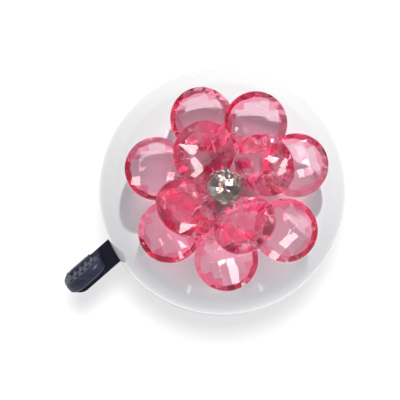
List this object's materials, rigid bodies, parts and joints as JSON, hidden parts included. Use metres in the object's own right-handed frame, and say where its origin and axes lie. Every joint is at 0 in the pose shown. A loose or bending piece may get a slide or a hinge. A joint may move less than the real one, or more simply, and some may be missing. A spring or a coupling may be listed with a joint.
{
  "type": "bicycle bell",
  "caption": "Handlebar bell: white domed gong with a faceted flower on its crown, a thumb lever and a geared striker inside, on a split clamp.",
  "frame": {"origin": "centre of the handlebar clamp's bore", "axes": "+X along the handlebar, +Z along the gong's axis towards its crown; the thumb lever leaves on the -X -Y side"},
  "size_m": [0.0688, 0.06, 0.0721],
  "materials": {
    "white_enamel": "glossy white enamel",
    "outer_acrylic": "clear pink faceted acrylic",
    "inner_acrylic": "deep pink faceted acrylic",
    "clear_crystal": "clear faceted crystal with a foiled back",
    "clear_glue": "clear cured glue",
    "disc_plastic": "thin pale moulded plastic",
    "tie_wire": "bright silvered wire",
    "lever_plastic": "semi-gloss black moulded plastic",
    "black_plastic": "satin black moulded plastic",
    "black_rubber": "matte black rubber",
    "base_steel": "zinc plated pressed steel",
    "zinc_steel": "bright zinc plated steel",
    "spring_steel": "spring steel",
    "hammer_steel": "turned steel washer",
    "gear_brass": "machined brass",
    "gear_nylon": "natural nylon"
  },
  "bodies": {
    "root": {"base_plate": "base_steel", "centre_post": "zinc_steel", "centre_stone": "clear_crystal", "clamp_lower": "black_plastic", "clamp_nuts": "zinc_steel", "clamp_screws": "zinc_steel", "clamp_upper": "black_plastic", "flower_disc": "disc_plastic", "flower_glue": "clear_glue", "gong": "white_enamel", "gong_boss": "zinc_steel", "idler_clip": "spring_steel", "idler_shaft": "zinc_steel", "inner_petal_ties": "tie_wire", "lever_pivot_pin": "zinc_steel", "outer_petal_ties": "tie_wire", "petal_inner_1": "inner_acrylic", "petal_inner_2": "inner_acrylic", "petal_inner_3": "inner_acrylic", "petal_inner_4": "inner_acrylic", "petal_outer_1": "outer_acrylic", "petal_outer_2": "outer_acrylic", "petal_outer_3": "outer_acrylic", "petal_outer_4": "outer_acrylic", "petal_outer_5": "outer_acrylic", "petal_outer_6": "outer_acrylic", "petal_outer_7": "outer_acrylic", "return_spring": "spring_steel", "rotor_clip": "spring_steel", "rotor_washer": "gear_brass", "rubber_shim": "black_rubber", "saddle_rivets": "zinc_steel", "spring_post": "zinc_steel", "stone_pin": "tie_wire", "strike_knobs": "zinc_steel"},
    "lever": {"lever": "lever_plastic"},
    "idler": {"idler_gear": "gear_nylon"},
    "rotor": {"rotor_pinion": "gear_brass", "rotor_arm": "base_steel", "hammer_pins": "zinc_steel"},
    "hammer_a": {"hammer_a": "hammer_steel"},
    "hammer_b": {"hammer_b": "hammer_steel"}
  },
  "joints": [
    {"name": "rotor_spin", "type": "hinge", "parent": "root", "child": "rotor", "pos_m": [0, 0, 0.02], "axis": [0, 0, 1], "range_deg": [0, 291.2]},
    {"name": "lever_press", "type": "hinge", "parent": "root", "child": "lever", "pos_m": [-0.01741, -0.00611, 0.0178], "axis": [0, 0, 1], "range_deg": [0, 26.1], "stiffness_Nm_per_rad": 0.15, "springref_deg": -34.38, "deforming": ["return_spring"]},
    {"name": "idler_spin", "type": "hinge", "parent": "root", "child": "idler", "pos_m": [-0.00899, 0.0098, 0.0185], "axis": [0, 0, 1], "range_deg": [-104.2, 0]},
    {"name": "hammer_a_spin", "type": "hinge", "parent": "rotor", "child": "hammer_a", "pos_m": [0.01417, 0.01189, 0.0258], "axis": [0, 0, 1], "continuous": true},
    {"name": "hammer_b_spin", "type": "hinge", "parent": "rotor", "child": "hammer_b", "pos_m": [-0.01417, -0.01189, 0.0258], "axis": [0, 0, 1], "continuous": true}
  ],
  "couplings": [
    {"joint": "lever_press", "follows": "rotor_spin", "ratio": 0.089286},
    {"joint": "idler_spin", "follows": "rotor_spin", "ratio": -0.35714}
  ]
}
